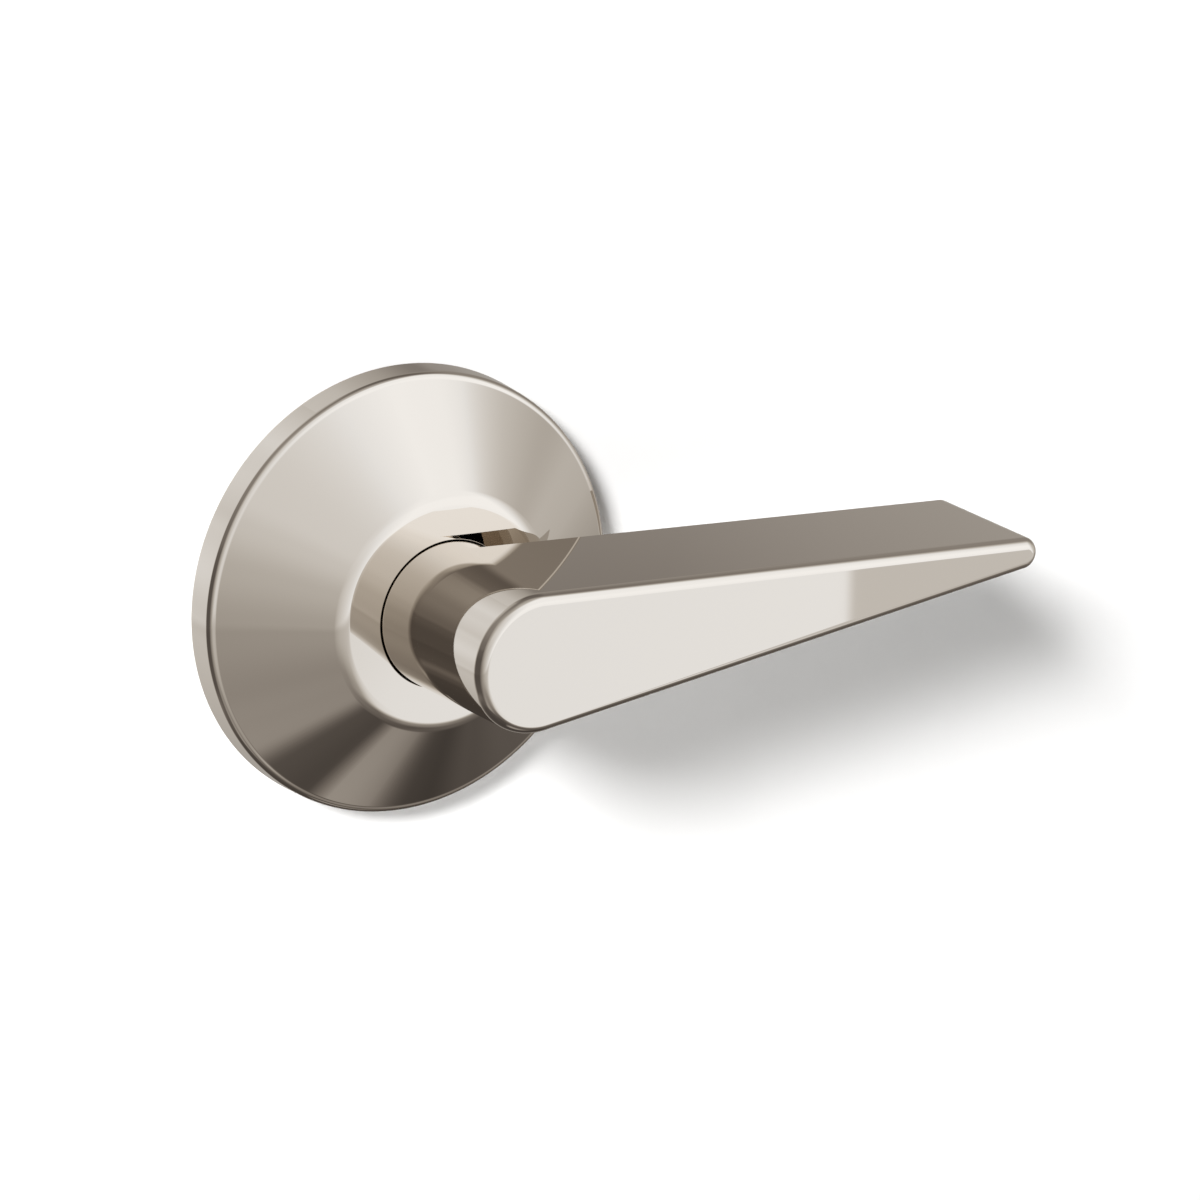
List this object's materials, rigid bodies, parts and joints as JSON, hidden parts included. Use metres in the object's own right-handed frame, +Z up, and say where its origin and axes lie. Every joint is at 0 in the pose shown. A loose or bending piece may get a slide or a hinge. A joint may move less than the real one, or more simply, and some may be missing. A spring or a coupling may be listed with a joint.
{
  "type": "door lever handle",
  "caption": "Door lever on a round conical rose, with a sprung drive, square spindle and hidden fixing plate; tapered blade lever.",
  "frame": {"origin": "on the spindle axis at the door face, midway between the two through-bolt posts", "axes": "-Y out of the door along the spindle, +X along the lever towards its tip, +Z up; the door face is the plane y = 0"},
  "size_m": [0.1581, 0.0953, 0.086],
  "materials": {
    "nickel_cover": "satin nickel plate, finely polished",
    "nickel_lever": "satin nickel plate on a zinc casting",
    "zinc_plated_sheet": "bright zinc plate",
    "zinc_casting": "as cast, matt",
    "turned_steel": "turned",
    "spindle_steel": "drawn bar, zinc plated",
    "post_steel": "turned, zinc plated",
    "screw_steel": "zinc plated",
    "rivet_steel": "headed",
    "spring_wire": "oil tempered wire",
    "spring_leaf": "hardened strip",
    "blackened_spring_steel": "phosphated",
    "bearing_plastic": "natural acetal",
    "buffer_nylon": "moulded",
    "black_rubber": "foam rubber"
  },
  "bodies": {
    "rose": {"rose_cover": "nickel_cover", "mounting_plate": "zinc_plated_sheet", "door_gasket": "black_rubber", "spring_housing": "zinc_casting", "spring_cover": "zinc_plated_sheet", "bearing_bush": "bearing_plastic", "return_spring": "spring_wire", "stop_buffers": "buffer_nylon", "housing_screws": "screw_steel", "cover_clips": "spring_leaf", "clip_rivets": "rivet_steel", "threaded_posts": "post_steel", "thrust_washer": "buffer_nylon", "wave_washer": "blackened_spring_steel"},
    "lever": {"lever_handle": "nickel_lever", "drive_sleeve": "turned_steel", "return_cam": "zinc_plated_sheet", "retaining_ring": "blackened_spring_steel", "lever_set_screw": "screw_steel", "spindle": "spindle_steel", "spindle_stop_pin": "turned_steel"}
  },
  "joints": [
    {"name": "lever_turn", "type": "hinge", "parent": "rose", "child": "lever", "pos_m": [0, 0, 0], "axis": [0, 1, 0], "range_deg": [-50, 50], "stiffness_Nm_per_rad": 2, "springref_deg": -4.87, "deforming": ["return_spring"]}
  ]
}
